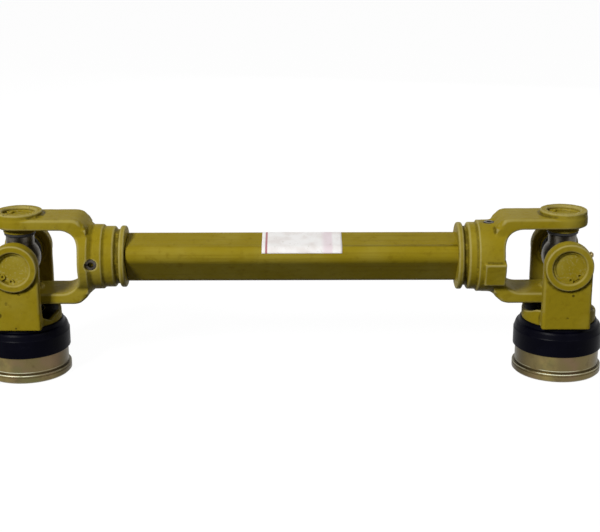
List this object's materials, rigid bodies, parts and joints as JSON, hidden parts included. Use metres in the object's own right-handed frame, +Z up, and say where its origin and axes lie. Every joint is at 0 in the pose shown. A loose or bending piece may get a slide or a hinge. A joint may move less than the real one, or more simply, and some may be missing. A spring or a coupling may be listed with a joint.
{
  "type": "pto drive shaft",
  "caption": "Telescoping farm drive shaft with a universal joint at each end, each yoke folded down onto a spring-locked collar with a splined bore.",
  "frame": {"origin": "on the floor, midway between the two joints", "axes": "+X along the shaft to the outer-tube end, +Y away from the picture's viewpoint, +Z up"},
  "size_m": [0.594, 0.09, 0.1585],
  "materials": {
    "paint": "semi-gloss olive yellow over forged steel",
    "painted_steel": "the same paint over bearing cups and circlips",
    "zinc": "yellow zinc plated",
    "ring": "blue-black moulded",
    "steel": "oiled dark steel",
    "bearing_steel": "polished",
    "nipple": "plated",
    "seal": "black rubber"
  },
  "bodies": {
    "outer_half": {"outer_tube": "paint", "outer_tube_yoke": "paint", "roll_pin_right": "steel", "cup_right_top": "painted_steel", "seal_right_top": "seal", "circlip_right_top": "painted_steel", "cup_right_bottom": "painted_steel", "seal_right_bottom": "seal", "circlip_right_bottom": "painted_steel"},
    "inner_half": {"inner_tube": "paint", "inner_tube_yoke": "paint", "roll_pin_left": "steel", "cup_left_top": "painted_steel", "seal_left_top": "seal", "circlip_left_top": "painted_steel", "cup_left_bottom": "painted_steel", "seal_left_bottom": "seal", "circlip_left_bottom": "painted_steel"},
    "cross_right": {"cross_right": "steel", "grease_nipple_right": "nipple"},
    "end_yoke_right": {"end_yoke_right": "paint", "grip_ring_right": "ring", "collar_washer_right": "steel", "snap_ring_right": "steel", "collar_spring_right": "steel", "cup_right_front": "painted_steel", "seal_right_front": "seal", "circlip_right_front": "painted_steel", "cup_right_back": "painted_steel", "seal_right_back": "seal", "circlip_right_back": "painted_steel"},
    "collar_right": {"locking_collar_right": "zinc"},
    "lock_ball_right_1": {"lock_ball_right_1": "bearing_steel"},
    "lock_ball_right_2": {"lock_ball_right_2": "bearing_steel"},
    "lock_ball_right_3": {"lock_ball_right_3": "bearing_steel"},
    "cross_left": {"cross_left": "steel", "grease_nipple_left": "nipple"},
    "end_yoke_left": {"end_yoke_left": "paint", "grip_ring_left": "ring", "collar_washer_left": "steel", "snap_ring_left": "steel", "collar_spring_left": "steel", "cup_left_front": "painted_steel", "seal_left_front": "seal", "circlip_left_front": "painted_steel", "cup_left_back": "painted_steel", "seal_left_back": "seal", "circlip_left_back": "painted_steel"},
    "collar_left": {"locking_collar_left": "zinc"},
    "lock_ball_left_1": {"lock_ball_left_1": "bearing_steel"},
    "lock_ball_left_2": {"lock_ball_left_2": "bearing_steel"},
    "lock_ball_left_3": {"lock_ball_left_3": "bearing_steel"}
  },
  "joints": [
    {"name": "tube_slide", "type": "slide", "parent": "outer_half", "child": "inner_half", "axis": [-1, 0, 0], "range_m": [0, 0.15]},
    {"name": "cross_turn_right", "type": "hinge", "parent": "outer_half", "child": "cross_right", "pos_m": [0.255, 0, 0.1135], "axis": [0, 0, 1], "range_deg": [-14, 14]},
    {"name": "yoke_fold_right", "type": "hinge", "parent": "cross_right", "child": "end_yoke_right", "pos_m": [0.255, 0, 0.1135], "axis": [0, -1, 0], "range_deg": [-5, 185]},
    {"name": "collar_pull_right", "type": "slide", "parent": "end_yoke_right", "child": "collar_right", "axis": [0, 0, 1], "range_m": [0, 0.0075], "stiffness_N_per_m": 4000, "springref_m": -0.008, "deforming": ["collar_spring_right"]},
    {"name": "ball_out_right_1", "type": "slide", "parent": "end_yoke_right", "child": "lock_ball_right_1", "axis": [0, 1, 0], "range_m": [0, 0.0028]},
    {"name": "ball_out_right_2", "type": "slide", "parent": "end_yoke_right", "child": "lock_ball_right_2", "axis": [-0.866, -0.5, 0], "range_m": [0, 0.0028]},
    {"name": "ball_out_right_3", "type": "slide", "parent": "end_yoke_right", "child": "lock_ball_right_3", "axis": [0.866, -0.5, 0], "range_m": [0, 0.0028]},
    {"name": "cross_turn_left", "type": "hinge", "parent": "inner_half", "child": "cross_left", "pos_m": [-0.255, 0, 0.1135], "axis": [0, 0, 1], "range_deg": [-14, 14]},
    {"name": "yoke_fold_left", "type": "hinge", "parent": "cross_left", "child": "end_yoke_left", "pos_m": [-0.255, 0, 0.1135], "axis": [0, 1, 0], "range_deg": [-5, 185]},
    {"name": "collar_pull_left", "type": "slide", "parent": "end_yoke_left", "child": "collar_left", "axis": [0, 0, 1], "range_m": [0, 0.0075], "stiffness_N_per_m": 4000, "springref_m": -0.008, "deforming": ["collar_spring_left"]},
    {"name": "ball_out_left_1", "type": "slide", "parent": "end_yoke_left", "child": "lock_ball_left_1", "axis": [0, -1, 0], "range_m": [0, 0.0028]},
    {"name": "ball_out_left_2", "type": "slide", "parent": "end_yoke_left", "child": "lock_ball_left_2", "axis": [0.866, 0.5, 0], "range_m": [0, 0.0028]},
    {"name": "ball_out_left_3", "type": "slide", "parent": "end_yoke_left", "child": "lock_ball_left_3", "axis": [-0.866, 0.5, 0], "range_m": [0, 0.0028]}
  ],
  "couplings": [
    {"joint": "ball_out_right_1", "follows": "collar_pull_right", "ratio": 0.37333},
    {"joint": "ball_out_right_2", "follows": "collar_pull_right", "ratio": 0.37333},
    {"joint": "ball_out_right_3", "follows": "collar_pull_right", "ratio": 0.37333},
    {"joint": "ball_out_left_1", "follows": "collar_pull_left", "ratio": 0.37333},
    {"joint": "ball_out_left_2", "follows": "collar_pull_left", "ratio": 0.37333},
    {"joint": "ball_out_left_3", "follows": "collar_pull_left", "ratio": 0.37333}
  ]
}
